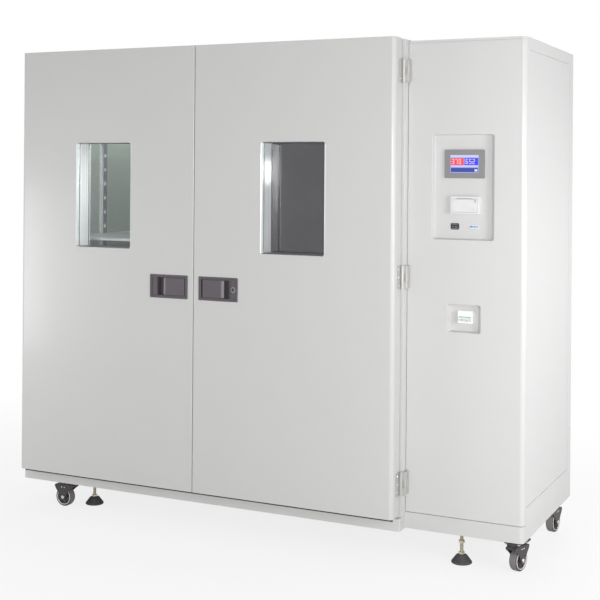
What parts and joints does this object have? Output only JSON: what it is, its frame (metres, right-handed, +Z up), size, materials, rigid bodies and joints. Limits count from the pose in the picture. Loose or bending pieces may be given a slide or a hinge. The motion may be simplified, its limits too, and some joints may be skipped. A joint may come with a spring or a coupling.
{
  "type": "refrigerated incubator",
  "caption": "Two-door refrigerated incubator with windows, flush latches and a control column on castors and levelling feet.",
  "frame": {"origin": "on the floor, under the middle of the whole footprint", "axes": "+X along the width towards the control column, +Y from the doors to the back, +Z up"},
  "size_m": [2.201, 0.8424, 1.953],
  "materials": {
    "white_paint": "satin powder coat",
    "stainless": "brushed",
    "faced_foam": "foam core faced with brushed stainless sheet",
    "foam": "rigid foam",
    "seal_rubber": "matt",
    "window_glass": "clear",
    "latch_black": "fine grain",
    "chrome": "polished",
    "screen_grey": "fine grain",
    "display_glass": "gloss",
    "printer_white": "satin",
    "switch_black": "gloss",
    "port_blue": "satin",
    "breaker_white": "satin",
    "toggle_grey": "satin",
    "castor_black": "satin",
    "tread_grey": "matt",
    "pad_rubber": "matt",
    "compressor_black": "satin",
    "motor_grey": "satin"
  },
  "bodies": {
    "cabinet": {"air_duct_panel": "stainless", "base_frame": "white_paint", "breaker_body": "breaker_white", "centre_post": "stainless", "condensing_unit": "compressor_black", "data_port": "port_blue", "fan_motor": "motor_grey", "front_panel": "white_paint", "inner_liner": "stainless", "insulation": "foam", "left_lower_hinge": "chrome", "left_middle_hinge": "chrome", "left_upper_hinge": "chrome", "lower_shelf": "stainless", "machine_case": "white_paint", "middle_shelf": "stainless", "outer_case": "white_paint", "printer_body": "printer_white", "right_lower_hinge": "chrome", "right_middle_hinge": "chrome", "right_upper_hinge": "chrome", "screen_glass": "display_glass", "screen_housing": "screen_grey", "shelf_uprights": "stainless", "side_panel": "white_paint", "upper_shelf": "stainless"},
    "left_door": {"left_door_skin": "white_paint", "left_door_liner": "faced_foam", "left_door_seal": "seal_rubber", "left_window_sleeve": "stainless", "left_outer_pane": "window_glass", "left_inner_pane": "window_glass", "left_latch_housing": "latch_black"},
    "left_paddle": {"left_paddle": "latch_black"},
    "right_door": {"right_door_skin": "white_paint", "right_door_liner": "faced_foam", "right_door_seal": "seal_rubber", "right_window_sleeve": "stainless", "right_outer_pane": "window_glass", "right_inner_pane": "window_glass", "right_latch_housing": "latch_black"},
    "right_paddle": {"right_paddle": "latch_black"},
    "lock": {"lock_cylinder": "chrome"},
    "printer_lid": {"printer_lid": "printer_white"},
    "power_rocker": {"power_rocker": "switch_black"},
    "breaker_toggles": {"breaker_toggles": "toggle_grey"},
    "circulation_fan": {"circulation_fan": "motor_grey"},
    "front_left_castor": {"front_left_fork": "castor_black"},
    "front_left_wheel": {"front_left_wheel": "tread_grey"},
    "front_right_castor": {"front_right_fork": "castor_black"},
    "front_right_wheel": {"front_right_wheel": "tread_grey"},
    "rear_left_castor": {"rear_left_fork": "castor_black"},
    "rear_left_wheel": {"rear_left_wheel": "tread_grey"},
    "rear_right_castor": {"rear_right_fork": "castor_black"},
    "rear_right_wheel": {"rear_right_wheel": "tread_grey"},
    "brake_pedal": {"front_right_brake_pedal": "castor_black"},
    "front_left_foot": {"front_left_foot": "pad_rubber"},
    "front_right_foot": {"front_right_foot": "pad_rubber"},
    "rear_left_foot": {"rear_left_foot": "pad_rubber"},
    "rear_right_foot": {"rear_right_foot": "pad_rubber"}
  },
  "joints": [
    {"name": "left_door_hinge", "type": "hinge", "parent": "cabinet", "child": "left_door", "pos_m": [-1.085, -0.35475, 0], "axis": [0, 0, -1], "range_deg": [0, 110]},
    {"name": "right_door_hinge", "type": "hinge", "parent": "cabinet", "child": "right_door", "pos_m": [0.646, -0.35475, 0], "axis": [0, 0, 1], "range_deg": [0, 110]},
    {"name": "left_paddle_hinge", "type": "hinge", "parent": "left_door", "child": "left_paddle", "pos_m": [-0.267, -0.41475, 0], "axis": [0, 0, 1], "range_deg": [0, 32], "stiffness_Nm_per_rad": 0.5, "springref_deg": -17.19},
    {"name": "right_paddle_hinge", "type": "hinge", "parent": "right_door", "child": "right_paddle", "pos_m": [-0.172, -0.41475, 0], "axis": [0, 0, -1], "range_deg": [0, 32], "stiffness_Nm_per_rad": 0.5, "springref_deg": -17.19},
    {"name": "lock_turn", "type": "hinge", "parent": "right_door", "child": "lock", "pos_m": [-0.0375, -0.41825, 0.984], "axis": [0, 1, 0], "range_deg": [0, 90]},
    {"name": "printer_lid_hinge", "type": "hinge", "parent": "cabinet", "child": "printer_lid", "pos_m": [0.86875, -0.30255, 1.308], "axis": [1, 0, 0], "range_deg": [0, 70]},
    {"name": "power_rocker_tilt", "type": "hinge", "parent": "cabinet", "child": "power_rocker", "pos_m": [0.82825, -0.29175, 1.252], "axis": [-1, 0, 0], "range_deg": [0, 12]},
    {"name": "breaker_toggle_throw", "type": "hinge", "parent": "cabinet", "child": "breaker_toggles", "pos_m": [0.87425, -0.3041, 0.913], "axis": [-1, 0, 0], "range_deg": [0, 56]},
    {"name": "fan_spin", "type": "hinge", "parent": "cabinet", "child": "circulation_fan", "pos_m": [0.5582, -0.07475, 1.4], "axis": [1, 0, 0], "continuous": true},
    {"name": "front_left_swivel", "type": "hinge", "parent": "cabinet", "child": "front_left_castor", "pos_m": [-0.8885, -0.30875, 0.094], "axis": [0, 0, 1], "continuous": true},
    {"name": "front_left_roll", "type": "hinge", "parent": "front_left_castor", "child": "front_left_wheel", "pos_m": [-0.9165, -0.30875, 0.041], "axis": [0, -1, 0], "continuous": true},
    {"name": "front_right_swivel", "type": "hinge", "parent": "cabinet", "child": "front_right_castor", "pos_m": [1.0585, -0.28075, 0.094], "axis": [0, 0, 1], "continuous": true},
    {"name": "front_right_roll", "type": "hinge", "parent": "front_right_castor", "child": "front_right_wheel", "pos_m": [1.06645, -0.2539, 0.041], "axis": [-0.9588, 0.284, 0], "continuous": true},
    {"name": "rear_left_swivel", "type": "hinge", "parent": "cabinet", "child": "rear_left_castor", "pos_m": [-0.8885, 0.25525, 0.094], "axis": [0, 0, 1], "continuous": true},
    {"name": "rear_left_roll", "type": "hinge", "parent": "rear_left_castor", "child": "rear_left_wheel", "pos_m": [-0.9025, 0.2795, 0.041], "axis": [-0.866, -0.5, 0], "continuous": true},
    {"name": "rear_right_swivel", "type": "hinge", "parent": "cabinet", "child": "rear_right_castor", "pos_m": [1.0585, 0.25525, 0.094], "axis": [0, 0, 1], "continuous": true},
    {"name": "rear_right_roll", "type": "hinge", "parent": "rear_right_castor", "child": "rear_right_wheel", "pos_m": [1.06336, 0.28282, 0.041], "axis": [-0.9848, 0.1736, 0], "continuous": true},
    {"name": "brake_pedal_hinge", "type": "hinge", "parent": "front_right_castor", "child": "brake_pedal", "pos_m": [1.07753, -0.21651, 0.0976], "axis": [-0.9588, 0.284, 0], "range_deg": [0, 14]},
    {"name": "front_left_foot_screw", "type": "slide", "parent": "cabinet", "child": "front_left_foot", "axis": [0, 0, 1], "range_m": [0, 0.012]},
    {"name": "front_right_foot_screw", "type": "slide", "parent": "cabinet", "child": "front_right_foot", "axis": [0, 0, 1], "range_m": [0, 0.012]},
    {"name": "rear_left_foot_screw", "type": "slide", "parent": "cabinet", "child": "rear_left_foot", "axis": [0, 0, 1], "range_m": [0, 0.012]},
    {"name": "rear_right_foot_screw", "type": "slide", "parent": "cabinet", "child": "rear_right_foot", "axis": [0, 0, 1], "range_m": [0, 0.012]}
  ]
}
